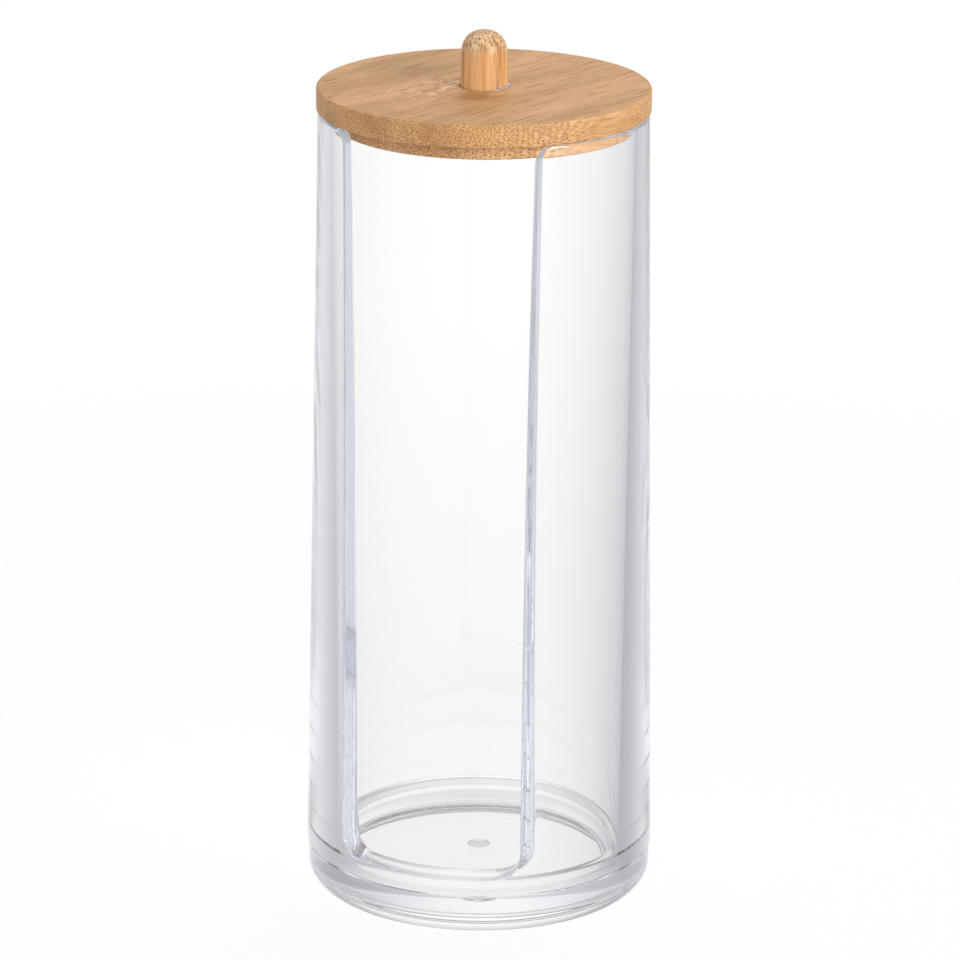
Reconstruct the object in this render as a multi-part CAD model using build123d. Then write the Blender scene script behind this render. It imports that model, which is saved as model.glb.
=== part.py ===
# Tall clear cotton pad box: a thick drafted tube with a tapered front slot, standing on a
# shallow clear base, under a bamboo lid with a rod knob. Millimetres, +Z up, origin at the
# middle of the foot, slot facing -Y. Heights build up from the foot: base, tube, lid, knob.
from build123d import *
from math import radians, tan
import os

# Clear base
base_height = 9.5           # foot to the shoulder that carries the tube
seam_step = 0.3             # the base stands this much inside the tube's foot, all round
foot_round = 5.0            # big outer rounding that the box stands on
foot_land = 4.4             # width of the flat ring that touches the table
recess_depth = 3.6          # hollow under the floor
recess_draft = 1.2          # how far the hollow narrows over its depth
recess_bevel = 0.8
floor_thickness = 3.5
spigot_height = 2.0         # ring that rises inside the tube and centres it
spigot_wall = 1.6
spigot_clearance = 0.15     # ring to bore, at the bore's narrow end
spigot_bevel = 0.4          # leads the ring into the bore
floor_round = 2.3           # inside corner between floor and ring
gate_radius = 2.25          # shallow round gate mark in the middle of the floor
gate_depth = 0.3
seam_chamfer = 0.35         # on both sides of the seam, so that it reads as a V groove

# Clear tube, moulded with draft: wider outside and narrower inside towards its foot
tube_length = 161.5
tube_foot_radius = 37.2
tube_rim_radius = 34.7
tube_foot_wall = 6.6
tube_rim_wall = 2.8

# Front slot, open at the rim; widths are those in the middle of the wall
slot_sill = 3.9             # wall left standing under the slot
slot_foot_width = 39.0
slot_rim_width = 41.0
slot_waist = 0.45           # each side bows in this much half way up: the open wall draws together
slot_draft = 4.0            # degrees that each side face opens outwards, to free the side core
slot_foot_corner = 5.0
slot_rim_corner = 3.5
edge_round = 0.8            # along the rim and all the way round the slot

# Bamboo lid: a top disc glued on a smaller disc that plugs the bore
lid_overhang = 0.3          # past the tube's rim, all round
lid_thickness = 5.0
lid_edge_round = 0.5
plug_thickness = 3.2
plug_clearance = 0.6        # plug to bore at the rim, all round
plug_edge_round = 0.5

# Bamboo knob: a rod with a domed end, glued in a blind hole of the top disc
knob_foot_radius = 4.95
knob_taper = 0.15           # narrower at the shoulder than at the foot
knob_height = 11.8          # above the lid's top face
knob_dome = 4.6             # height of the rounded end
socket_depth = 3.0
socket_clearance = 0.2
bead_width = 0.75           # glue squeezed out round the knob's foot
bead_height = 0.45

# Heights that follow from the sizes above
shoulder_z = base_height
floor_z = recess_depth + floor_thickness
rim_z = shoulder_z + tube_length
lid_top_z = rim_z + lid_thickness
sill_z = shoulder_z + slot_sill
socket_z = lid_top_z - socket_depth

# Radii that the pieces share
bore_foot_radius = tube_foot_radius - tube_foot_wall
bore_rim_radius = tube_rim_radius - tube_rim_wall
lid_radius = tube_rim_radius + lid_overhang


def profile(*points):
    """Closed outline in the XZ plane, radius first and height second."""
    return make_face(Polyline(*[(r, 0, z) for r, z in points], close=True))


def round_corner(face, r, z, radius):
    """Round the outline's corner that lies at radius r and height z."""
    corner = face.vertices().sort_by_distance((r, 0, z))[0]
    return fillet(corner, radius)


# Base, turned from one section
base_radius = tube_foot_radius - seam_step
foot_edge = base_radius - foot_round
foot_inner = foot_edge - foot_land
recess_radius = foot_inner - recess_draft
spigot_radius = bore_foot_radius - spigot_clearance
well_radius = spigot_radius - spigot_wall
spigot_z = shoulder_z + spigot_height

section = profile(
    (0, recess_depth),
    (recess_radius - recess_bevel, recess_depth),
    (recess_radius, recess_depth - recess_bevel),
    (foot_inner, 0),
    (base_radius, 0),
    (base_radius, shoulder_z - seam_chamfer),
    (base_radius - seam_chamfer, shoulder_z),
    (spigot_radius, shoulder_z),
    (spigot_radius, spigot_z - spigot_bevel),
    (spigot_radius - spigot_bevel, spigot_z),
    (well_radius + spigot_bevel, spigot_z),
    (well_radius, spigot_z - spigot_bevel),
    (well_radius, floor_z),
    (gate_radius, floor_z),
    (gate_radius, floor_z - gate_depth),
    (0, floor_z - gate_depth),
)
section = round_corner(section, base_radius, 0, foot_round)
section = round_corner(section, well_radius, floor_z, floor_round)
base = revolve(section, Axis.Z)

# Tube: a drafted ring, then the slot through its front wall
wall = profile(
    (bore_foot_radius, shoulder_z),
    (tube_foot_radius - seam_chamfer, shoulder_z),
    (tube_foot_radius, shoulder_z + seam_chamfer),
    (tube_rim_radius, rim_z),
    (bore_rim_radius, rim_z),
)
tube = revolve(wall, Axis.Z)

# One side of the slot: its outline flares into the rim, so that the upper corner comes out
# rounded, its edge is a long shallow arc, and it is cut outwards askew by the draft. The
# other side is its mirror image, and the two cuts overlap in the middle
draft_slope = tan(radians(slot_draft))
wall_middle = (tube_foot_radius + bore_foot_radius) / 2
slot_depth = (wall_middle ** 2 - (slot_foot_width / 2) ** 2) ** 0.5
half_foot = slot_foot_width / 2 - draft_slope * slot_depth
half_rim = slot_rim_width / 2 - draft_slope * slot_depth
half_waist = (half_foot + half_rim) / 2 - slot_waist
waist_z = (sill_z + rim_z) / 2
flare = slot_rim_corner * 1.5
over = slot_rim_corner
past_middle = -half_foot / 2
side = make_face([
    Line((past_middle, 0, sill_z), (half_foot, 0, sill_z)),
    ThreePointArc((half_foot, 0, sill_z), (half_waist, 0, waist_z), (half_rim, 0, rim_z)),
    Polyline(
        (half_rim, 0, rim_z),
        (half_rim + flare, 0, rim_z),
        (half_rim + flare, 0, rim_z + over),
        (past_middle, 0, rim_z + over),
        (past_middle, 0, sill_z),
    ),
])
side = round_corner(side, half_foot, sill_z, slot_foot_corner)
side = round_corner(side, half_rim, rim_z, slot_rim_corner)
cut = extrude(side, amount=tube_foot_radius * 1.2, dir=(draft_slope, -1, 0))
tube -= cut
tube -= mirror(cut, about=Plane.YZ)

# Rounding runs in two loops, outside and inside: along the rim, down one side of the slot,
# over the sill and up again. The short edges across the wall stay as they are.
def reach(point):
    """Distance of a point from the tube's axis."""
    return (point.X ** 2 + point.Y ** 2) ** 0.5


low_z = shoulder_z + slot_sill / 2
loops = [
    edge
    for edge in tube.edges()
    if edge.start_point().Z > low_z
    and edge.end_point().Z > low_z
    and abs(reach(edge.start_point()) - reach(edge.end_point())) < 1
]
tube = fillet(loops, edge_round)

# Lid: both discs are flat and turned, the top one bored part way for the knob
plug_radius = bore_rim_radius - plug_clearance
socket_radius = knob_foot_radius + socket_clearance

rest = profile(
    (0, rim_z),
    (lid_radius, rim_z),
    (lid_radius, lid_top_z),
    (socket_radius, lid_top_z),
    (socket_radius, socket_z),
    (0, socket_z),
)
rest = round_corner(rest, lid_radius, rim_z, lid_edge_round)
rest = round_corner(rest, lid_radius, lid_top_z, lid_edge_round)
lid_disc = revolve(rest, Axis.Z)

plug = profile(
    (0, rim_z - plug_thickness),
    (plug_radius, rim_z - plug_thickness),
    (plug_radius, rim_z),
    (0, rim_z),
)
plug = round_corner(plug, plug_radius, rim_z - plug_thickness, plug_edge_round)
plug_disc = revolve(plug, Axis.Z)

# Knob: straight in its socket, slightly tapered above the lid, then a dome whose curve
# leaves the side upright and reaches the axis level
shoulder_radius = knob_foot_radius - knob_taper
knob_top_z = lid_top_z + knob_height
dome_z = knob_top_z - knob_dome
rod = make_face([
    Line((0, 0, socket_z), (knob_foot_radius, 0, socket_z)),
    Line((knob_foot_radius, 0, socket_z), (knob_foot_radius, 0, lid_top_z)),
    Line((knob_foot_radius, 0, lid_top_z), (shoulder_radius, 0, dome_z)),
    Spline((shoulder_radius, 0, dome_z), (0, 0, knob_top_z), tangents=[(0, 0, 1), (-1, 0, 0)]),
    Line((0, 0, knob_top_z), (0, 0, socket_z)),
])
knob = revolve(rod, Axis.Z)

# Glue ring: a hollow fillet that closes the gap between knob and socket
bead_inner = (knob_foot_radius, 0, lid_top_z)
bead_outer = (knob_foot_radius + bead_width, 0, lid_top_z)
bead_upper = (knob_foot_radius, 0, lid_top_z + bead_height)
bead_middle = (knob_foot_radius + bead_width * 0.4, 0, lid_top_z + bead_height * 0.4)
bead = make_face([
    Line(bead_inner, bead_outer),
    ThreePointArc(bead_outer, bead_middle, bead_upper),
    Line(bead_upper, bead_inner),
])
glue = revolve(bead, Axis.Z)

os.makedirs("parts", exist_ok=True)
nodes = {
    "base": base,
    "body_tube": tube,
    "lid_top_disc": lid_disc,
    "lid_plug_disc": plug_disc,
    "knob": knob,
    "knob_glue_ring": glue,
}
for name, shape in nodes.items():
    export_step(shape, f"parts/{name}.step")
    print(name, "volume", round(shape.volume, 1), "valid", shape.is_valid)
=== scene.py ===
import bpy
import math
import numpy as np
from mathutils import Matrix, Vector


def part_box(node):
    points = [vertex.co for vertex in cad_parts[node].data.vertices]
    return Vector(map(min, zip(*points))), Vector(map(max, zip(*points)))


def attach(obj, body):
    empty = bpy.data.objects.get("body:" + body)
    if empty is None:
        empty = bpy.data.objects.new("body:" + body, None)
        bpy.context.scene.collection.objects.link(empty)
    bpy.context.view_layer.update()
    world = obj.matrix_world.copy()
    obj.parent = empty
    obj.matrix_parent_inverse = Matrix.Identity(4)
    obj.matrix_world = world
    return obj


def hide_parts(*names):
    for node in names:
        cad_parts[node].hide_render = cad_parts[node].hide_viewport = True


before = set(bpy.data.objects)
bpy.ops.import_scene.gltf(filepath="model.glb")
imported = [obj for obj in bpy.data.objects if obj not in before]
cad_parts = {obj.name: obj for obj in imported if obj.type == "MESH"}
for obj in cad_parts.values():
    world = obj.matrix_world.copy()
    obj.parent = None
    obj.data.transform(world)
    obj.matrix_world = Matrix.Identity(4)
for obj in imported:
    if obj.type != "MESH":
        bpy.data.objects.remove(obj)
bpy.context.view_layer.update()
mm = 0.001


def toLinear(hexText, alpha=1.0):
    # sRGB hex to linear: below 0.04045 divide by 12.92, above it ((c + 0.055) / 1.055) to the 2.4
    c = np.array([int(hexText[i:i + 2], 16) for i in (1, 3, 5)]) / 255
    lin = np.where(c <= 0.04045, c / 12.92, ((c + 0.055) / 1.055) ** 2.4)
    return (*[float(v) for v in lin], alpha)


def addNode(tree, kind, sockets=None, **settings):
    # adds one node; a socket takes plain data, an output to link, or a node for its first output
    # (a Mix node of colours has its result at output 2)
    node = tree.nodes.new("ShaderNode" + kind)
    for key, value in settings.items():
        setattr(node, key, value)
    for key, value in (sockets or {}).items():
        if isinstance(value, bpy.types.Node):
            value = value.outputs[0]
        if isinstance(value, bpy.types.NodeSocket):
            tree.links.new(value, node.inputs[key])
        else:
            node.inputs[key].default_value = value
    return node


def newMaterial(name):
    # an empty material and its node tree
    material = bpy.data.materials.new(name)
    material.use_nodes = True
    material.node_tree.nodes.clear()
    return material, material.node_tree


def nodeSize(name):
    # radius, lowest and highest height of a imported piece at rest, in mm
    low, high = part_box(name)
    return {"radius": round(high[0] / mm, 2), "low": round(low[2] / mm, 2), "high": round(high[2] / mm, 2)}


tubeSize = nodeSize("body_tube")
baseSize = nodeSize("base")
discSize = nodeSize("lid_top_disc")
plugSize = nodeSize("lid_plug_disc")
knobSize = nodeSize("knob")
clear = 0.03                 # mm between faces of two pieces that would lie in one plane

# camera, fitted to the lid's circles, the tube's sides and the seam of the photographed box
cameraSettings = {
    "side": -0.28,           # mm, camera to the box's axis, across the view
    "distance": 1110.5,      # mm, level
    "height": 438.8,         # mm above the table
    "pitch": 17.443,         # degrees down
    "roll": 0.395,           # degrees, the box leans right
    "turn": 18.8,            # degrees from the slot's middle round to the camera
    "focal": 204.97,         # mm
    "sensor": 36,            # mm
    "clipEnd": 20,           # m
}


def viewTurn(x, y, z):
    # turns a vector given across, along and above the camera's level view into the part's frame
    a = math.radians(cameraSettings["turn"])
    return Vector((x * math.cos(a) - y * math.sin(a), x * math.sin(a) + y * math.cos(a), z))


def makeCamera(s):
    # right, up and forward are built from the pitch, then right and up are rolled about forward
    p, r = math.radians(s["pitch"]), math.radians(s["roll"])
    right = viewTurn(1, 0, 0)
    forward = viewTurn(0, math.cos(p), -math.sin(p))
    up = viewTurn(0, math.sin(p), math.cos(p))
    across = right * math.cos(r) + up * math.sin(r)
    rise = up * math.cos(r) - right * math.sin(r)
    camData = bpy.data.cameras.new("photoCamera")
    camData.sensor_width = s["sensor"]
    camData.lens = s["focal"]
    camData.clip_end = s["clipEnd"]
    cam = bpy.data.objects.new("photoCamera", camData)
    bpy.context.collection.objects.link(cam)
    m = Matrix((across, rise, -forward)).transposed().to_4x4()
    m.translation = viewTurn(s["side"], -s["distance"], s["height"]) * mm
    cam.matrix_world = m
    bpy.context.scene.camera = cam


makeCamera(cameraSettings)
print("camera set")


# surfaces on numpy grids

def loopQuads(rows, cols, closeRows):
    # quads of a grid of points, numbered row by row: each joins a point to the next column and
    # the next row. The columns close on themselves, and the rows may
    r = np.arange(rows if closeRows else rows - 1)[:, None]
    c = np.arange(cols)[None, :]
    r2, c2 = (r + 1) % rows, (c + 1) % cols
    return np.stack([r * cols + c, r * cols + c2, r2 * cols + c2, r2 * cols + c], -1).reshape(-1, 4)


def buildObject(name, points, quads, triangles, material, sharp):
    # one smooth mesh from points in mm, with edges over sharp degrees kept; faces are turned
    # outwards by the sign of the volume, which is the sum of each corner triangle's triple product
    points = np.asarray(points, float) * mm
    quads = np.asarray(quads, int).reshape(-1, 4)
    triangles = np.asarray(triangles, int).reshape(-1, 3)
    split = np.concatenate([quads[:, [0, 1, 2]], quads[:, [0, 2, 3]], triangles])
    a, b, c = (points[split[:, i]] for i in range(3))
    if np.einsum("ij,ij->i", a, np.cross(b, c)).sum() < 0:
        quads, triangles = quads[:, ::-1], triangles[:, ::-1]
    loops = np.concatenate([quads.ravel(), triangles.ravel()])
    sizes = np.concatenate([np.full(len(quads), 4), np.full(len(triangles), 3)])
    mesh = bpy.data.meshes.new(name)
    mesh.vertices.add(len(points))
    mesh.vertices.foreach_set("co", points.ravel())
    mesh.loops.add(len(loops))
    mesh.loops.foreach_set("vertex_index", loops)
    mesh.polygons.add(len(sizes))
    mesh.polygons.foreach_set("loop_start", np.concatenate([[0], np.cumsum(sizes)[:-1]]))
    mesh.update(calc_edges=True)
    mesh.validate()
    mesh.polygons.foreach_set("use_smooth", np.ones(len(sizes), bool))
    mesh.set_sharp_from_angle(angle=math.radians(sharp))
    mesh.materials.append(material)
    piece = bpy.data.objects.new(name, mesh)
    bpy.context.collection.objects.link(piece)
    return piece


def roundedOutline(corners, steps=9, guard=0.06):
    # straight runs through corners (r, z, radius); each corner with a radius becomes an arc
    # tangent to both runs, with one extra point a guard length before and after it
    pts = []
    c = np.array([k[:2] for k in corners], float)
    for i, (r, z, radius) in enumerate(corners):
        if radius == 0 or i in (0, len(corners) - 1):
            pts.append((r, z))
            continue
        p = c[i]
        u = (c[i - 1] - p) / np.linalg.norm(c[i - 1] - p)
        v = (c[i + 1] - p) / np.linalg.norm(c[i + 1] - p)
        half = math.acos(np.clip(u @ v, -1, 1)) / 2
        reach = radius / math.tan(half)
        centre = p + (u + v) / np.linalg.norm(u + v) * radius / math.sin(half)
        t0, t1 = p + u * reach, p + v * reach
        a0 = math.atan2(*(t0 - centre)[::-1])
        a1 = math.atan2(*(t1 - centre)[::-1])
        sweep = (a1 - a0 + math.pi) % (2 * math.pi) - math.pi
        a = a0 + sweep * np.linspace(0, 1, steps + 1)
        arc = centre + radius * np.stack([np.cos(a), np.sin(a)], -1)
        pts.append(tuple(t0 + u * guard))
        pts.extend(map(tuple, arc))
        pts.append(tuple(t1 + v * guard))
    return np.array(pts)


def turnedObject(name, outline, material, around=256, sharp=25):
    # a section turned about Z: point = (r cos a, r sin a, z) for evenly spaced a; an end that lies
    # on the axis is one vertex with a fan of triangles
    a = np.arange(around) / around * 2 * np.pi
    onAxis = outline[:, 0] < 1e-9
    body = outline[~onAxis]
    ring = np.stack([
        body[:, :1] * np.cos(a), body[:, :1] * np.sin(a), np.repeat(body[:, 1:], around, 1),
    ], -1).reshape(-1, 3)
    closed = not onAxis.any()
    quads = loopQuads(len(body), around, closed)
    fans, poles = [], []
    turn = np.stack([np.arange(around), (np.arange(around) + 1) % around], -1)
    for atEnd in (False, True):
        if onAxis[-1 if atEnd else 0]:
            pole = len(ring) + len(poles)
            poles.append((0, 0, outline[-1 if atEnd else 0, 1]))
            pair = turn + (len(body) - 1) * around if atEnd else turn[:, ::-1]
            fans.append(np.column_stack([np.full(around, pole), pair]))
    points = np.concatenate([ring, np.array(poles).reshape(-1, 3)])
    return buildObject(name, points, quads, np.concatenate(fans) if fans else [], material, sharp)


# clear moulded polystyrene: index 1.59, polished by the mould, faintly blue where the light has
# a long way to go inside the wall, so the middle stays clear and the edges go grey-blue
clearSettings = {
    "ior": 1.59,
    "tint": "#b3bcce", "density": 2.0,   # per metre
    "shadow": (0.96, 0.97, 0.98, 1),
    # the gate mark in the floor was sheared off, and is rough inside this reach
    "gateZ": 6.95, "gateReach": 2.3, "gateEdge": 0.3, "gateRoughness": 0.5,
}


def makeClearPlastic(name, s, gateMark):
    # light that goes a length through the wall keeps exp(-(1 - tint) * density * length) of each
    # colour; rays to a lamp go straight through with a plain tint, so that the shadow stays light
    material, tree = newMaterial(name)
    rough = 0.0
    if gateMark:
        place = addNode(tree, "TexCoord").outputs["Object"]
        away = addNode(tree, "VectorMath", {0: place, 1: (0, 0, s["gateZ"] * mm)}, operation="DISTANCE")
        rough = addNode(tree, "MapRange", {
            "Value": away.outputs["Value"],
            "From Min": (s["gateReach"] - s["gateEdge"]) * mm, "From Max": s["gateReach"] * mm,
            "To Min": s["gateRoughness"], "To Max": 0.0})
    body = addNode(tree, "BsdfPrincipled", {
        "Base Color": (1, 1, 1, 1), "Roughness": rough, "IOR": s["ior"], "Transmission Weight": 1.0})
    through = addNode(tree, "BsdfTransparent", {"Color": s["shadow"]})
    path = addNode(tree, "LightPath")
    mix = addNode(tree, "MixShader", {0: path.outputs["Is Shadow Ray"], 1: body, 2: through})
    depth = addNode(tree, "VolumeAbsorption", {"Color": toLinear(s["tint"]), "Density": s["density"]})
    addNode(tree, "OutputMaterial", {"Surface": mix, "Volume": depth})
    return material


clearWall = makeClearPlastic("clearPolystyrene", clearSettings, False)
clearFoot = makeClearPlastic("clearPolystyreneBase", clearSettings, True)


# body tube: thick drafted wall with the front slot

tubeSettings = {
    "footZ": tubeSize["low"] + clear, "rimZ": tubeSize["high"],
    "outFoot": tubeSize["radius"], "outRim": 34.7,
    "boreFoot": 30.6, "boreRim": 31.9,
    "slotFoot": 19.5, "slotRim": 20.5,      # half widths in the middle of the wall
    "slotWaist": 0.45,                      # how far each side bows in half way up
    "slotDraft": 4.0,                       # degrees that each side face opens outwards
    "sillZ": tubeSize["low"] + 3.9,
    "footCorner": 5.0, "rimCorner": 3.5,
    "edgeRound": 0.8, "seamBevel": 0.35,
    # steps along the free edge: half the sill, each corner, the side, and the rim to the back
    "sill": 14, "corner": 12, "side": 72, "back": 84,
    "footTurns": (0, 25, 33, 58, 61, 180),  # degrees at the foot under the edge's six marks
    "bands": (0.9, 1.2, 2.2),               # mm in from the free edge, rows that keep close to it
    "down": 40, "bend": 7,                  # steps from there to the foot, and round the edge
    "across": (0, 0.04, 0.2, 0.4, 0.6, 0.8, 0.96, 1),    # rows over the edge, shares of the wall
}


def slotEdge(s):
    # right half of the slot's outline seen from the front, from the sill's middle out to the rim:
    # line, arc, shallow bow, arc; with the unit direction that points into the wall at each sample.
    # The side is the straight line from foot to rim less 4 * waist * t * (1 - t)
    foot, rim = np.array([s["slotFoot"], s["sillZ"]]), np.array([s["slotRim"], s["rimZ"]])
    tall = rim[1] - foot[1]
    slopes = np.array([-4, 4]) * s["slotWaist"] / tall + (rim[0] - foot[0]) / tall

    def corner(point, slope, out, radius):
        # arc tangent to the level line and to the side, which leans by slope; out is -1 or 1
        side = np.array([slope, 1.0]) * -out / math.hypot(slope, 1)
        level = np.array([out, 0.0])
        half = math.acos(level @ side) / 2
        middle = (level + side) / np.linalg.norm(level + side)
        return point + middle * radius / math.sin(half), point + side * radius / math.tan(half)

    centreF, low = corner(foot, slopes[0], -1, s["footCorner"])
    centreR, high = corner(rim, slopes[1], 1, s["rimCorner"])
    lean = np.arctan(slopes)
    t = np.linspace(0, 1, s["sill"] + 1)[:-1, None]
    sill = np.array([0, s["sillZ"]]) + t * np.array([centreF[0], 0])
    a = np.linspace(-math.pi / 2, -lean[0], s["corner"] + 1)[:-1]
    arcF = centreF + s["footCorner"] * np.stack([np.cos(a), np.sin(a)], -1)
    t = np.linspace(0, 1, s["side"] + 1)[:-1]
    bow = 4 * s["slotWaist"] * ((high[1] - low[1]) / tall) ** 2
    up = low + t[:, None] * (high - low) - np.stack([bow * t * (1 - t), 0 * t], -1)
    sideLean = lean[0] + (lean[1] - lean[0]) * t
    b = np.linspace(math.pi - lean[1], math.pi / 2, s["corner"] + 1)
    arcR = centreR + s["rimCorner"] * np.stack([np.cos(b), np.sin(b)], -1)
    points = np.concatenate([sill, arcF, up, arcR])
    into = np.concatenate([
        np.tile([0.0, -1.0], (len(sill), 1)),
        np.stack([np.cos(a), np.sin(a)], -1),
        np.stack([np.cos(sideLean), -np.sin(sideLean)], -1),
        -np.stack([np.cos(b), np.sin(b)], -1),
    ])
    return points, into, (len(sill), len(sill) + len(arcF), len(points) - len(arcR))


def makeTube(s):
    # the wall is a closed grid: one direction runs round the free edge (sill, slot side, rim,
    # back, and home), the other goes from the foot up the outside, over that edge and down the
    # bore. Every point is (r sin q, -r cos q, z) with r from the cone at that height
    edge, into, marks = slotEdge(s)

    def cone(z, foot, rim):
        return foot + (rim - foot) * (z - s["footZ"]) / (s["rimZ"] - s["footZ"])

    def place(q, z, foot, rim):
        r = cone(z, foot, rim)
        return np.stack([r * np.sin(q), -r * np.cos(q), z], -1)

    middle = (s["outFoot"] + s["boreFoot"]) / 2
    depth = math.sqrt(middle ** 2 - s["slotFoot"] ** 2)
    slope = math.tan(math.radians(s["slotDraft"])) * np.clip(edge[:, 0] / edge[marks[0], 0], 0, 1)

    def edgeOn(foot, rim):
        # angle round the axis and height of the free edge on one of the two cones; the draft
        # moves each point outwards by slope times its depth less the middle depth
        r = cone(edge[:, 1], foot, rim)
        x = edge[:, 0]
        for _ in range(3):
            x = edge[:, 0] + slope * (np.sqrt(r ** 2 - x ** 2) - depth)
        q = np.arcsin(x / r)
        back = np.linspace(q[-1], math.pi, s["back"] + 1)[1:]
        q = np.concatenate([q, back])
        z = np.concatenate([edge[:, 1], np.full(s["back"], s["rimZ"])])
        n = np.concatenate([into, np.tile([0.0, -1.0], (s["back"], 1))])
        return q, z, n

    count = len(edge) + s["back"]
    knots = [0, *marks, len(edge) - 1, count - 1]
    footAngle = np.radians(np.interp(np.arange(count), knots, s["footTurns"]))

    def surface(foot, rim, lowZ):
        # rows from just past the rounding straight down to the foot
        q, z, n = edgeOn(foot, rim)
        rows = []
        for d in (s["edgeRound"], *s["bands"]):
            rows.append(place(q + n[:, 0] * d / cone(z, foot, rim), z + n[:, 1] * d, foot, rim))
        d = s["bands"][-1]
        q1, z1 = q + n[:, 0] * d / cone(z, foot, rim), z + n[:, 1] * d
        for t in np.linspace(0, 1, s["down"] + 1)[1:]:
            rows.append(place(q1 + (footAngle - q1) * t, z1 + (lowZ - z1) * t, foot, rim))
        return place(q, z, foot, rim), np.array(rows)

    outEdge, outRows = surface(s["outFoot"], s["outRim"], s["footZ"] + s["seamBevel"])
    boreEdge, boreRows = surface(s["boreFoot"], s["boreRim"], s["footZ"])
    across = boreEdge - outEdge
    across /= np.linalg.norm(across, axis=-1, keepdims=True)
    outCut = outEdge + across * s["edgeRound"]
    boreCut = boreEdge - across * s["edgeRound"]

    def bend(a, c, b):
        # quadratic curve from a to b that is tangent to the lines towards the sharp corner c
        t = np.linspace(0, 1, s["bend"] + 1)[1:-1, None, None]
        return (1 - t) ** 2 * a + 2 * t * (1 - t) * c + t ** 2 * b

    faceRows = outCut + (boreCut - outCut) * np.array(s["across"])[:, None, None]
    seamRadius = s["outFoot"] - s["seamBevel"]
    footOut = np.stack([
        seamRadius * np.sin(footAngle), -seamRadius * np.cos(footAngle), np.full(count, s["footZ"])], -1)
    half = np.concatenate([
        footOut[None], outRows[::-1], bend(outRows[0], outEdge, outCut), faceRows,
        bend(boreCut, boreEdge, boreRows[0]), boreRows,
        (footOut * 0.5 + boreRows[-1] * 0.5)[None],
    ])
    mirrored = half[:, -2:0:-1] * [-1, 1, 1]
    grid = np.concatenate([half, mirrored], 1)
    quads = loopQuads(*grid.shape[:2], True)
    tube = buildObject("tubeShell", grid.reshape(-1, 3), quads, [], clearWall, sharp=25)
    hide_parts("body_tube")
    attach(tube, "box")


makeTube(tubeSettings)
print("tube built")


# base: one turned section with a big outer rounding, ring, dished floor and gate mark

baseSettings = {
    "outer": baseSize["radius"], "height": tubeSize["low"], "footRound": 5.0,
    "footInner": 30.6, "landRound": 0.3,     # inner edge of the flat ring that it stands on
    "recessTop": 29.6, "recessDepth": 3.6, "recessRound": 0.8,
    "ringOuter": 30.45, "ringInner": 28.85, "ringTop": baseSize["high"], "ringRound": 0.35,
    "floor": 7.1, "floorRound": 2.3,
    "gateOuter": 2.5, "gateInner": 2.15, "gateDepth": 0.3, "gateRounds": (0.3, 0.2),
    "seamBevel": 0.35, "seamRound": 0.12,
}


def makeBase(s):
    # the section runs from the axis along the hollow, round the foot, up the side, over the ring
    # and across the floor back to the axis
    gateZ = s["floor"] - s["gateDepth"]
    outline = roundedOutline([
        (0, s["recessDepth"], 0),
        (s["recessTop"], s["recessDepth"], s["recessRound"]),
        (s["footInner"], 0, s["landRound"]),
        (s["outer"], 0, s["footRound"]),
        (s["outer"], s["height"] - s["seamBevel"], s["seamRound"]),
        (s["outer"] - s["seamBevel"], s["height"], s["seamRound"]),
        (s["ringOuter"], s["height"], 0),
        (s["ringOuter"], s["ringTop"], s["ringRound"]),
        (s["ringInner"], s["ringTop"], s["ringRound"]),
        (s["ringInner"], s["floor"], s["floorRound"]),
        (s["gateOuter"], s["floor"], s["gateRounds"][0]),
        (s["gateInner"], gateZ, s["gateRounds"][1]),
        (0, gateZ, 0),
    ])
    base = turnedObject("baseShell", outline, clearFoot)
    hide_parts("base")
    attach(base, "box")


makeBase(baseSettings)
print("base built")


# bamboo: split culm, planed, glued and turned, then sealed. Bundles of fibres run along the
# grain: dark dots where they end at a face, fine lines where they lie in it, crowded near the
# culm's skin; the sealer leaves a soft sheen. Lengths are in mm, and a pair of them is the
# length along the grain and the width across it

lidGrain = cameraSettings["turn"] + 50     # degrees from +X to the grain of the upper disc
plugGrain = lidGrain - 6                   # the lower one was glued on a little askew

bambooDisc = {
    "light": "#dcab77", "mid": "#ce9f6b", "dark": "#b68552", "bundle": "#8f5c30",
    "endTint": (0.99, 0.96, 0.90),     # what end grain's colour is multiplied by
    "endFrom": (0.03, 0.38),           # sine of grain to face, where end grain starts and is full
    "spacing": 0.60, "flatness": 1.15,           # bundles, and how much closer they lie in height
    "scatter": 0.75,                             # 0 sets them out in rows, 1 at random
    "bundleSize": 0.26, "bundleEdge": 0.15,      # shares of the spacing: radius and its soft edge
    "faceContrast": 0.26, "endContrast": 1.0,    # how dark the dots are
    "skinZ": discSize["low"], "crowding": 0.10,  # they lie closer by this share per mm above skinZ
    "wander": (14, 5), "swing": 0.7,             # slow bends of the bundles
    "fibre": (12, 0.7), "lineFrom": (0.52, 0.64), "lineContrast": 0.70,
    "cloud": (60, 7), "toneFrom": (0.76, 1.24),  # noise sum that is darkest and lightest
    "strip": 19.0, "stripStart": 0.37, "stripShade": 0.05,
    "roughness": (0.44, 0.58), "glossFrom": (0.3, 0.7), "ior": 1.5,
    "bump": 0.05, "bumpShare": 0.3,              # depth of a bundle's end, and how much of it shows
}
bambooPlug = {
    **bambooDisc, "endTint": (1.04, 1.08, 1.12), "spacing": 0.64, "skinZ": plugSize["low"],
    "crowding": 0.04,
}
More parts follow.
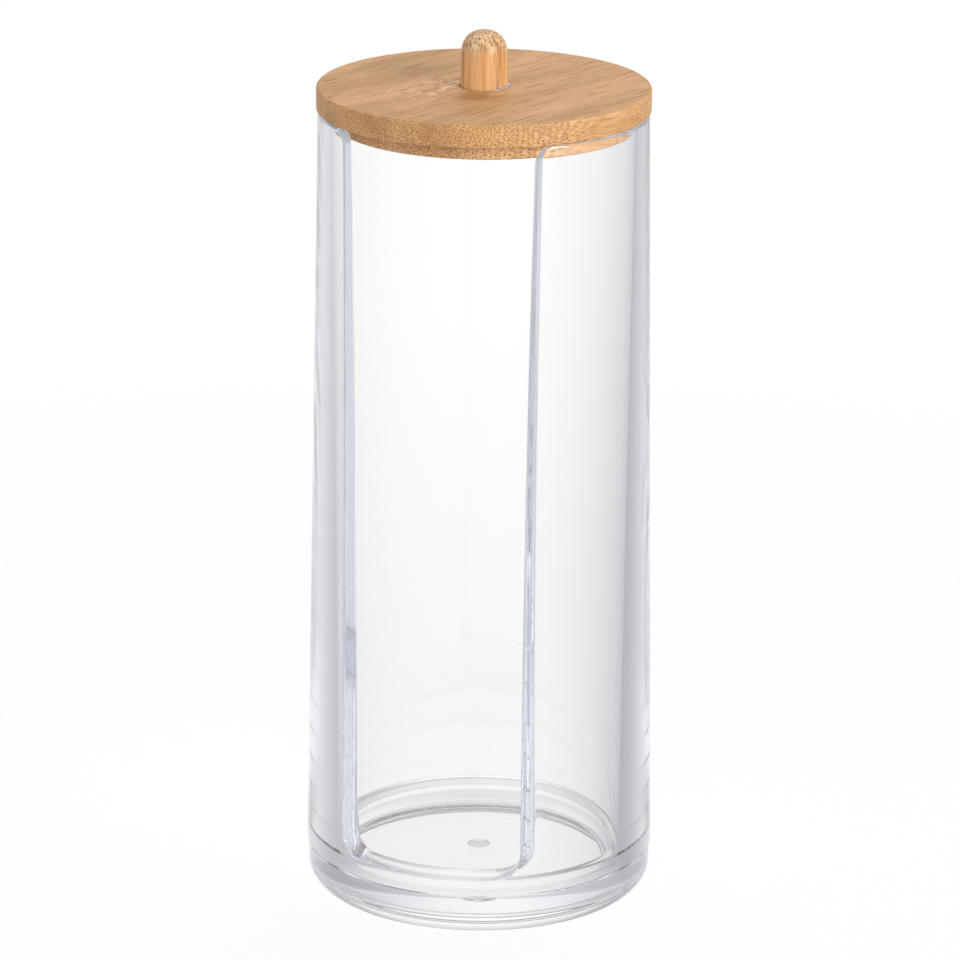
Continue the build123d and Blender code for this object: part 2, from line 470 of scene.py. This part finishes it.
bambooRod = {
    **bambooDisc, "light": "#f4c38a", "mid": "#e3ae72", "dark": "#bd8246", "bundle": "#835a34",
    "endTint": (0.86, 0.95, 1.16), "spacing": 0.70, "bundleSize": 0.29, "faceContrast": 0.14,
    "endContrast": 0.85, "fibre": (24, 1.1), "lineContrast": 0.62, "crowding": 0.0, "strip": 3.4,
    "roughness": (0.32, 0.46),
}

# a knuckle of the culm beside the knob, with a stain; places are across and along the camera's
# level view. Ragged is how far the rim wanders, soft how wide it fades, both as shares of the size
knuckleSettings = {
    "patch": {"at": (-9.5, -2.5), "size": (8.0, 11.0), "ragged": 0.6, "soft": 0.35},
    "stain": {"at": (-1.8, -10.6), "size": (4.4, 3.4), "ragged": 1.0, "soft": 0.7},
    "patchColour": "#c08a5c", "patchShare": 0.4,
    "stainColour": "#84481f", "stainShare": 0.6,
    "waves": (4, 2), "swerve": 3.2,              # how the fibres bend round it
    "dashes": (3.0, 1.0), "dashFrom": (0.54, 0.64), "dashColour": "#f0d0a8", "dashShare": 0.68,
}


def grainNoise(tree, along, size, detail, roughness=0.5):
    # noise drawn out to size[0] mm along the grain and size[1] mm across it
    scale = (1 / (size[0] * mm), 1 / (size[1] * mm), 1 / (size[1] * mm))
    drawn = addNode(tree, "VectorMath", {0: along, 1: scale}, operation="MULTIPLY")
    return addNode(tree, "TexNoise", {
        "Vector": drawn, "Scale": 1.0, "Detail": detail, "Roughness": roughness})


def patchMask(tree, place, s, edge=0.9, lobes=2):
    # 1 inside an ellipse and 0 outside it: distance as a share of the size, plus ragged times a
    # noise, is compared with the edge's share, with a fade of soft on both sides of it
    middle = viewTurn(*s["at"], 0) * mm
    moved = addNode(tree, "VectorMath", {0: place, 1: middle}, operation="SUBTRACT")
    level = addNode(tree, "Mapping", {
        "Vector": moved, "Rotation": (0, 0, -math.radians(cameraSettings["turn"]))})
    scale = (1 / (s["size"][0] * mm), 1 / (s["size"][1] * mm), 0)
    unit = addNode(tree, "VectorMath", {0: level, 1: scale}, operation="MULTIPLY")
    away = addNode(tree, "VectorMath", {0: unit}, operation="LENGTH")
    noise = addNode(tree, "TexNoise", {
        "Vector": place, "Scale": lobes / (s["size"][0] * mm), "Detail": 3.0})
    reach = addNode(tree, "Math", {
        0: noise.outputs["Fac"], 1: s["ragged"], 2: away.outputs["Value"]}, operation="MULTIPLY_ADD")
    rim = edge + s["ragged"] / 2
    return addNode(tree, "MapRange", {
        "Value": reach, "From Min": rim - s["soft"], "From Max": rim + s["soft"],
        "To Min": 1.0, "To Max": 0.0}, interpolation_type="SMOOTHSTEP")


def swerved(tree, along, patch, k):
    # the fibres' place moved by a wavy noise where the patch lies
    waves = grainNoise(tree, along, k["waves"], detail=1.0)
    swing = addNode(tree, "VectorMath", {
        0: waves.outputs["Color"], 1: (0.5, 0.5, 0.5)}, operation="SUBTRACT")
    most = addNode(tree, "Math", {0: patch, 1: k["swerve"] * mm}, operation="MULTIPLY")
    offset = addNode(tree, "VectorMath", {0: swing, 3: most}, operation="SCALE")
    return addNode(tree, "VectorMath", {0: along, 1: offset}, operation="ADD")


def knuckleColour(tree, place, along, patch, ground, k):
    # darker wood in the patch, short pale dashes along the grain, and a brown stain
    part = addNode(tree, "Math", {0: patch, 1: k["patchShare"]}, operation="MULTIPLY")
    dim = addNode(tree, "Mix", {
        0: part, 6: ground.outputs[2], 7: toLinear(k["patchColour"])}, data_type="RGBA")
    dashes = grainNoise(tree, along, k["dashes"], detail=2.0)
    peak = addNode(tree, "MapRange", {
        "Value": dashes.outputs["Fac"], "From Min": k["dashFrom"][0], "From Max": k["dashFrom"][1],
        "To Max": k["dashShare"]})
    pale = addNode(tree, "Math", {0: peak, 1: patch}, operation="MULTIPLY")
    flecked = addNode(tree, "Mix", {
        0: pale, 6: dim.outputs[2], 7: toLinear(k["dashColour"])}, data_type="RGBA")
    blot = addNode(tree, "Math", {
        0: patchMask(tree, place, k["stain"]), 1: k["stainShare"]}, operation="MULTIPLY")
    return addNode(tree, "Mix", {
        0: blot, 6: flecked.outputs[2], 7: toLinear(k["stainColour"])}, data_type="RGBA")


def bundleDots(tree, along, s):
    # 1 in the middle of a bundle seen across the grain, 0 between bundles. Height above the skin
    # line is drawn out as h * (1 + crowding * h), so that the cells get lower
    wander = grainNoise(tree, along, s["wander"], detail=2.0)
    centred = addNode(tree, "VectorMath", {
        0: wander.outputs["Color"], 1: (0.5, 0.5, 0.5)}, operation="SUBTRACT")
    shifted = addNode(tree, "VectorMath", {
        0: centred, 1: (s["swing"] * mm,) * 3, 2: along}, operation="MULTIPLY_ADD")
    parts = addNode(tree, "SeparateXYZ", {"Vector": shifted})
    crowd = addNode(tree, "Math", {
        0: parts.outputs["Z"], 1: s["crowding"] / mm, 2: 1.0}, operation="MULTIPLY_ADD")
    tall = addNode(tree, "Math", {0: parts.outputs["Z"], 1: crowd}, operation="MULTIPLY")
    cross = addNode(tree, "CombineXYZ", {"X": parts.outputs["Y"], "Y": tall})
    density = 1 / (s["spacing"] * mm)
    scaled = addNode(tree, "VectorMath", {
        0: cross, 1: (density, density * s["flatness"], 0)}, operation="MULTIPLY")
    cells = addNode(tree, "TexVoronoi", {
        "Vector": scaled, "Scale": 1.0, "Randomness": s["scatter"]}, voronoi_dimensions="2D")
    return addNode(tree, "MapRange", {
        "Value": cells.outputs["Distance"], "From Min": s["bundleSize"] - s["bundleEdge"],
        "From Max": s["bundleSize"] + s["bundleEdge"], "To Min": 1.0, "To Max": 0.0},
        interpolation_type="SMOOTHSTEP")


def groundTone(tree, along, streak, s):
    # colour between the bundles: the sum of streaks and slow clouds runs from dark to light, and
    # each glued strip has its own tone
    cloud = grainNoise(tree, along, s["cloud"], detail=2.0)
    tone = addNode(tree, "Math", {0: streak.outputs["Fac"], 1: cloud.outputs["Fac"]}, operation="ADD")
    level = addNode(tree, "MapRange", {
        "Value": tone, "From Min": s["toneFrom"][0], "From Max": s["toneFrom"][1]})
    ramp = addNode(tree, "ValToRGB", {"Fac": level})
    ramp.color_ramp.elements[0].color = toLinear(s["dark"])
    ramp.color_ramp.elements[1].color = toLinear(s["light"])
    ramp.color_ramp.elements.new(0.5).color = toLinear(s["mid"])
    pos = addNode(tree, "SeparateXYZ", {"Vector": along})
    index = addNode(tree, "Math", {
        0: pos.outputs["Y"], 1: 1 / (s["strip"] * mm), 2: s["stripStart"]}, operation="MULTIPLY_ADD")
    whole = addNode(tree, "Math", {0: index}, operation="FLOOR")
    chance = addNode(tree, "TexWhiteNoise", {"W": whole}, noise_dimensions="1D")
    lift = addNode(tree, "MapRange", {
        "Value": chance, "To Min": 1 - s["stripShade"], "To Max": 1 + s["stripShade"]})
    return addNode(tree, "VectorMath", {0: ramp, 3: lift}, operation="SCALE")


def makeBamboo(name, s, grain, knuckle=None):
    # the ground's colour goes over to the bundles' by the greater of dots * contrast and
    # lines * (1 - end), where end is 1 on end grain and 0 on a face that lies along the grain
    material, tree = newMaterial(name)
    place = addNode(tree, "TexCoord").outputs["Object"]
    if grain is None:      # the grain stands along Z, and is turned to X
        turn, axis = (0, math.radians(90), 0), (0, 0, 1)
    else:
        turn = (0, 0, math.radians(-grain))
        axis = (math.cos(math.radians(grain)), math.sin(math.radians(grain)), 0)
    low = addNode(tree, "VectorMath", {0: place, 1: (0, 0, s["skinZ"] * mm)}, operation="SUBTRACT")
    along = addNode(tree, "Mapping", {"Vector": low, "Rotation": turn})
    if knuckle:
        patch = patchMask(tree, place, knuckle["patch"])
        along = swerved(tree, along, patch, knuckle)
    dots = bundleDots(tree, along, s)
    streak = grainNoise(tree, along, s["fibre"], detail=3.0, roughness=0.6)
    lines = addNode(tree, "MapRange", {
        "Value": streak.outputs["Fac"], "From Min": s["lineFrom"][0], "From Max": s["lineFrom"][1],
        "To Max": s["lineContrast"]}, interpolation_type="SMOOTHSTEP")
    toned = groundTone(tree, along, streak, s)
    # how squarely the grain meets the face, from 0 along it to 1 at the end grain
    shape = addNode(tree, "NewGeometry")
    meet = addNode(tree, "VectorMath", {0: shape.outputs["Normal"], 1: axis}, operation="DOT_PRODUCT")
    square = addNode(tree, "Math", {0: meet.outputs["Value"]}, operation="ABSOLUTE")
    end = addNode(tree, "MapRange", {
        "Value": square, "From Min": s["endFrom"][0], "From Max": s["endFrom"][1]},
        interpolation_type="SMOOTHSTEP")
    # dots where the bundles end, lines where they lie in the face
    strength = addNode(tree, "MapRange", {
        "Value": end, "To Min": s["faceContrast"], "To Max": s["endContrast"]})
    dotted = addNode(tree, "Math", {0: dots, 1: strength}, operation="MULTIPLY")
    onFace = addNode(tree, "Math", {0: 1.0, 1: end}, operation="SUBTRACT")
    lined = addNode(tree, "Math", {0: lines, 1: onFace}, operation="MULTIPLY")
    dark = addNode(tree, "Math", {0: dotted, 1: lined}, operation="MAXIMUM")
    warm = addNode(tree, "VectorMath", {0: toned, 1: s["endTint"]}, operation="MULTIPLY")
    ground = addNode(tree, "Mix", {0: end, 6: toned, 7: warm}, data_type="RGBA")
    if knuckle:
        ground = knuckleColour(tree, place, along, patch, ground, knuckle)
    colour = addNode(tree, "Mix", {
        0: dark, 6: ground.outputs[2], 7: toLinear(s["bundle"])}, data_type="RGBA")
    height = addNode(tree, "Math", {0: dark, 1: -1.0}, operation="MULTIPLY")
    bump = addNode(tree, "Bump", {
        "Height": height, "Strength": s["bumpShare"], "Distance": s["bump"] * mm})
    gloss = addNode(tree, "MapRange", {
        "Value": streak.outputs["Fac"], "From Min": s["glossFrom"][0], "From Max": s["glossFrom"][1],
        "To Min": s["roughness"][0], "To Max": s["roughness"][1]})
    body = addNode(tree, "BsdfPrincipled", {
        "Base Color": colour.outputs[2], "Roughness": gloss, "Normal": bump, "IOR": s["ior"]})
    addNode(tree, "OutputMaterial", {"Surface": body})
    return material


discBamboo = makeBamboo("sealedBambooDisc", bambooDisc, lidGrain, knuckleSettings)
plugBamboo = makeBamboo("sealedBambooPlug", bambooPlug, plugGrain)
rodBamboo = makeBamboo("bambooRod", bambooRod, None)

lidSettings = {
    "radius": discSize["radius"], "under": discSize["low"], "top": discSize["high"], "edgeRound": 0.5,
    "plugRadius": plugSize["radius"], "plugUnder": plugSize["low"], "plugRound": 0.5,
    "socket": 5.15, "socketFloor": knobSize["low"], "socketRound": 0.1,
    "gap": 0.02,             # keeps the disc's underside off the plug's top
}


def makeLid(s):
    # two turned sections with rounded rims; the upper disc's section drops into the knob's socket
    disc = turnedObject("lidDisc", roundedOutline([
        (0, s["under"] + s["gap"], 0),
        (s["radius"], s["under"] + s["gap"], s["edgeRound"]),
        (s["radius"], s["top"], s["edgeRound"]),
        (s["socket"], s["top"], s["socketRound"]),
        (s["socket"], s["socketFloor"], 0),
        (0, s["socketFloor"], 0),
    ]), discBamboo)
    plug = turnedObject("lidPlug", roundedOutline([
        (0, s["plugUnder"], 0),
        (s["plugRadius"], s["plugUnder"], s["plugRound"]),
        (s["plugRadius"], s["under"], 0),
        (0, s["under"], 0),
    ]), plugBamboo)
    for piece, node in ((disc, "lid_top_disc"), (plug, "lid_plug_disc")):
        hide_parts(node)
        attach(piece, "lid")


makeLid(lidSettings)
print("lid built")

knobSettings = {
    "foot": knobSize["radius"], "shoulder": 4.8,
    "bottom": knobSize["low"] + clear, "bottomBevel": 0.2,
    "lidTop": discSize["high"], "dome": 4.6, "top": knobSize["high"],
    "fullness": 0.8, "domeSteps": 25,        # below 1 the dome is fuller than an ellipse
}


def makeKnob(s):
    # straight rod with a dome: t runs over a quarter turn, r = shoulder * cos(t)^fullness and
    # z = dome * sin(t) above the dome's start
    domeStart = s["top"] - s["dome"]
    t = np.linspace(0, math.pi / 2, s["domeSteps"] + 1)[1:]
    dome = np.stack([
        s["shoulder"] * np.cos(t) ** s["fullness"], domeStart + s["dome"] * np.sin(t)], -1)
    dome[-1, 0] = 0
    side = np.array([
        (0, s["bottom"]),
        (s["foot"] - s["bottomBevel"], s["bottom"]),
        (s["foot"], s["bottom"] + s["bottomBevel"]),
        (s["foot"], s["lidTop"]),
        ((s["foot"] + s["shoulder"]) / 2, (s["lidTop"] + domeStart) / 2),
        (s["shoulder"], domeStart),
    ])
    knob = turnedObject("knobRod", np.concatenate([side, dome]), rodBamboo, around=160, sharp=40)
    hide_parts("knob")
    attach(knob, "lid")


makeKnob(knobSettings)

# dried squeeze-out of wood glue: nearly clear, glossy, a bit milky
glueSettings = {
    "inner": knobSize["radius"], "sink": 0.02,   # how far it reaches into the rod
    "lidTop": discSize["high"],
    "narrow": 0.03, "wide": 0.74, "height": 0.42, "lowest": 0.08,
    "side": 8.0, "fade": 1.5,                    # degrees from +X to the widest place
    "waves": ((0.12, 7, 0), (0.08, 13, 1)),      # share of the width, number round, phase
    "colour": "#f2ece8", "roughness": 0.18, "ior": 1.47, "clearness": 0.7,
    "around": 180, "up": 7,                      # steps round the knob and up the section
}


def makeGlue(s):
    # ring of glue with a rounded section: a quarter of an ellipse whose width and height swell
    # towards one side as narrow + (wide - narrow) * max(0, cos)^fade, with waves in the width
    a = np.arange(s["around"]) / s["around"] * 2 * np.pi
    swell = np.clip(np.cos(a - math.radians(s["side"])), 0, 1) ** s["fade"]
    waves = 1 + sum(share * np.sin(number * a + phase) for share, number, phase in s["waves"])
    width = np.clip(s["narrow"] + (s["wide"] - s["narrow"]) * swell * waves, s["narrow"], s["wide"])
    tall = s["height"] * (s["lowest"] + (1 - s["lowest"]) * swell)
    t = np.linspace(0, math.pi / 2, s["up"] + 1)[:, None]
    start = s["inner"] - s["sink"]
    r = np.concatenate([start + (width + s["sink"]) * np.cos(t), np.full((1, s["around"]), start)])
    z = np.concatenate([s["lidTop"] + tall * np.sin(t), np.full((1, s["around"]), s["lidTop"])])
    points = np.stack([r * np.cos(a), r * np.sin(a), z], -1)
    material, tree = newMaterial("driedClearGlue")
    body = addNode(tree, "BsdfPrincipled", {
        "Base Color": toLinear(s["colour"]), "Roughness": s["roughness"], "IOR": s["ior"],
        "Transmission Weight": s["clearness"]})
    addNode(tree, "OutputMaterial", {"Surface": body})
    quads = loopQuads(len(r), s["around"], True)
    glue = buildObject("knobGlue", points.reshape(-1, 3), quads, [], material, sharp=50)
    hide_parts("knob_glue_ring")
    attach(glue, "lid")


makeGlue(glueSettings)
print("knob and glue built")


# studio: white table and surround, soft lamps. What the clear wall bends and mirrors is a white
# sweep of limited width ahead, dimmer cool room beside it, soft boxes behind the camera, and,
# looking down near the box, painted shade of the box on the table

studioSettings = {
    "table": "#f2f2f2",
    "keep": 0.86,            # how much of the table's look is its own white, the rest is lit
    "near": (150, 420),      # mm from the axis over which its own white takes over
    "tableSide": 6.0, "tableDrop": 0.15,     # half its width in m, and mm below the foot
    "world": 0.52,           # plain light from all round on what isn't clear
    "gap": 0.42,             # how far the surround falls off beside the sweep
    "gapAt": 56.25,          # degrees from the sweep's middle to where it is dimmest
    "gapLean": 0.10,         # the fall is this share deeper on the right, shallower on the left
    "gapTurn": 4.0,          # degrees that the sweep's middle lies to the left
    "behind": 0.28,          # how much brighter the soft boxes behind are
    "overhead": (0.30, 26),  # how far it falls off above the sweep, and degrees up where it ends
    "paintedShadeBelow": (0.72, 24, 42), # painted shade of the box on the table under it: strength straight down, and the degrees down where the fall starts and ends
    "paintedShadeLean": 0.14,       # that painted shade's strength is this much lower on the right, higher on the left
    "dim": (0.075, 16.5, 20.5),  # painted shade of the box on the table close behind it: share that the table loses, from and to these degrees down
    "cool": "#f7f9fe",       # cast of all that isn't straight ahead
    "coolFrom": (8.1, 30.7), # degrees from straight ahead where it starts and is full
}


def surroundLevel(tree, direction, s):
    # with q the angle round to the right from straight ahead and a = |q + turn|, the level is
    # (1 + behind * max(0, -cos q)^2 - gap * (1 + lean * sin q) * sin(p)^2) * rise * fall * dim,
    # where p is the lesser of a * 90 / gapAt and a + 90 - gapAt degrees. Rise falls with height
    # where cos q > 0, and fall and dim with depth; fall and dim are painted shade of the box on
    # the table. The second result is 1 away from ahead
    turned = addNode(tree, "Mapping", {
        "Vector": direction, "Rotation": (0, 0, -math.radians(cameraSettings["turn"]))})
    parts = addNode(tree, "SeparateXYZ", {"Vector": turned})
    q = addNode(tree, "Math", {0: parts.outputs["X"], 1: parts.outputs["Y"]}, operation="ARCTAN2")
    cosine = addNode(tree, "Math", {0: q}, operation="COSINE")
    sine = addNode(tree, "Math", {0: q}, operation="SINE")

    gapAt = math.radians(s["gapAt"])
    shifted = addNode(tree, "Math", {0: q, 1: math.radians(s["gapTurn"])}, operation="ADD")
    off = addNode(tree, "Math", {0: shifted}, operation="ABSOLUTE")
    steep = addNode(tree, "Math", {0: off, 1: math.pi / 2 / gapAt}, operation="MULTIPLY")
    slow = addNode(tree, "Math", {0: off, 1: math.pi / 2 - gapAt}, operation="ADD")
    phase = addNode(tree, "Math", {0: steep, 1: slow}, operation="MINIMUM")
    wave = addNode(tree, "Math", {0: phase}, operation="SINE")
    share = addNode(tree, "Math", {0: wave, 1: 2.0}, operation="POWER")
    deep = addNode(tree, "Math", {0: sine, 1: s["gap"] * s["gapLean"], 2: s["gap"]}, operation="MULTIPLY_ADD")
    cut = addNode(tree, "Math", {0: share, 1: deep}, operation="MULTIPLY")

    backwards = addNode(tree, "MapRange", {
        "Value": cosine, "From Min": -1.0, "From Max": 0.0, "To Min": 1.0, "To Max": 0.0})
    back = addNode(tree, "Math", {0: backwards, 1: 2.0}, operation="POWER")
    lit = addNode(tree, "Math", {0: back, 1: s["behind"], 2: 1.0}, operation="MULTIPLY_ADD")
    around = addNode(tree, "Math", {0: lit, 1: cut}, operation="SUBTRACT")

    up = addNode(tree, "Math", {0: parts.outputs["Z"]}, operation="ARCSINE")
    high = addNode(tree, "MapRange", {
        "Value": up, "From Min": 0.0, "From Max": math.radians(s["overhead"][1])})
    front = addNode(tree, "MapRange", {"Value": cosine, "To Max": -s["overhead"][0]})
    rise = addNode(tree, "Math", {0: front, 1: high, 2: 1.0}, operation="MULTIPLY_ADD")
    # painted shade: the box's shadow on the table under it, for rays that go steeply down
    floor = addNode(tree, "Math", {0: sine, 1: -s["paintedShadeLean"], 2: s["paintedShadeBelow"][0]}, operation="MULTIPLY_ADD")
    fall = addNode(tree, "MapRange", {
        "Value": up, "From Min": -math.radians(s["paintedShadeBelow"][2]), "From Max": -math.radians(s["paintedShadeBelow"][1]),
        "To Min": floor, "To Max": 1.0}, interpolation_type="SMOOTHSTEP")
    # painted shade: the box's shadow on the table close behind it, a little below level
    dim = addNode(tree, "MapRange", {
        "Value": up, "From Min": -math.radians(s["dim"][2]), "From Max": -math.radians(s["dim"][1]),
        "To Min": 1.0 - s["dim"][0], "To Max": 1.0})

    level = around
    for factor in (rise, fall, dim):
        level = addNode(tree, "Math", {0: level, 1: factor}, operation="MULTIPLY")
    aside = addNode(tree, "MapRange", {
        "Value": cosine, "From Min": math.cos(math.radians(s["coolFrom"][0])),
        "From Max": math.cos(math.radians(s["coolFrom"][1]))}, interpolation_type="SMOOTHSTEP")
    return level, aside


def makeTable(s):
    # the table is white to the eye and lit near the box; rays bent or mirrored by the box pass
    # through it and take the surround's brightness in their direction
    material, tree = newMaterial("whiteTable")
    path = addNode(tree, "LightPath")
    place = addNode(tree, "TexCoord").outputs["Object"]
    away = addNode(tree, "VectorMath", {0: place}, operation="LENGTH")
    share = addNode(tree, "MapRange", {
        "Value": away.outputs["Value"], "From Min": s["near"][0] * mm, "From Max": s["near"][1] * mm,
        "To Min": s["keep"], "To Max": 1.0})
    own = addNode(tree, "Math", {0: path.outputs["Is Camera Ray"], 1: share}, operation="MULTIPLY")
    glow = addNode(tree, "Emission", {"Color": (1, 1, 1, 1), "Strength": 1.0})
    lit = addNode(tree, "BsdfDiffuse", {"Color": toLinear(s["table"])})
    seen = addNode(tree, "MixShader", {0: own, 1: lit, 2: glow})
    bent = addNode(tree, "Math", {
        0: path.outputs["Is Glossy Ray"], 1: path.outputs["Is Transmission Ray"]}, operation="MAXIMUM")
    passed = addNode(tree, "BsdfTransparent")
    mix = addNode(tree, "MixShader", {0: bent, 1: seen, 2: passed})
    addNode(tree, "OutputMaterial", {"Surface": mix})
    side, z = s["tableSide"], -s["tableDrop"] * mm
    corners = [(x * side, y * side, z) for x, y in ((-1, -1), (1, -1), (1, 1), (-1, 1))]
    mesh = bpy.data.meshes.new("table")
    mesh.from_pydata(corners, [], [(0, 1, 2, 3)])
    mesh.materials.append(material)
    table = bpy.data.objects.new("table", mesh)
    bpy.context.collection.objects.link(table)


def makeWorld(s):
    # white to the camera, the surround's level and cast to rays bent or mirrored by the box, and
    # one plain level to all others
    world = bpy.data.worlds.new("studio")
    world.use_nodes = True
    bpy.context.scene.world = world
    tree = world.node_tree
    tree.nodes.clear()
    path = addNode(tree, "LightPath")
    direction = addNode(tree, "TexCoord").outputs["Generated"]
    surround, aside = surroundLevel(tree, direction, s)
    bent = addNode(tree, "Math", {
        0: path.outputs["Is Glossy Ray"], 1: path.outputs["Is Transmission Ray"]}, operation="MAXIMUM")
    other = addNode(tree, "Mix", {0: bent, 2: s["world"], 3: surround})
    level = addNode(tree, "Mix", {0: path.outputs["Is Camera Ray"], 2: other, 3: 1.0})
    castShare = addNode(tree, "Math", {0: aside, 1: bent}, operation="MULTIPLY")
    cast = addNode(tree, "Mix", {
        0: castShare, 6: (1, 1, 1, 1), 7: toLinear(s["cool"])}, data_type="RGBA")
    back = addNode(tree, "Background", {"Color": cast.outputs[2], "Strength": level})
    addNode(tree, "OutputWorld", {"Surface": back})


# places are across, along and above the camera's level view, in mm; sizes are in mm too
lamps = {
    "key": {"from": (700, -650, 420), "size": 420, "watts": 7.0},
    "fill": {"from": (-800, -450, 520), "size": 600, "watts": 1.5},
    "top": {"from": (60, 200, 980), "size": 520, "watts": 2.2},
}
lampTarget = (0, 0, 100)


def makeLamps(settings):
    # round soft lamps, each at its place and turned to face the target
    target = Vector(lampTarget) * mm
    for name, s in settings.items():
        data = bpy.data.lights.new(name, "AREA")
        data.shape = "DISK"
        data.size = s["size"] * mm
        data.energy = s["watts"]
        lamp = bpy.data.objects.new(name, data)
        bpy.context.collection.objects.link(lamp)
        lamp.visible_transmission = False      # seen as a highlight, not through the wall
        lamp.location = viewTurn(*s["from"]) * mm
        lamp.rotation_euler = (target - lamp.location).to_track_quat("-Z", "Y").to_euler()


makeTable(studioSettings)
makeWorld(studioSettings)
makeLamps(lamps)
wallBounces = 80             # light turns many corners inside the thick wall
shadowBounces = 24           # walls that a ray to a lamp may pass
scene = bpy.context.scene
scene.view_settings.view_transform = "Standard"
scene.cycles.max_bounces = wallBounces
scene.cycles.transmission_bounces = wallBounces
scene.cycles.glossy_bounces = wallBounces
scene.cycles.transparent_max_bounces = shadowBounces
print("studio built")
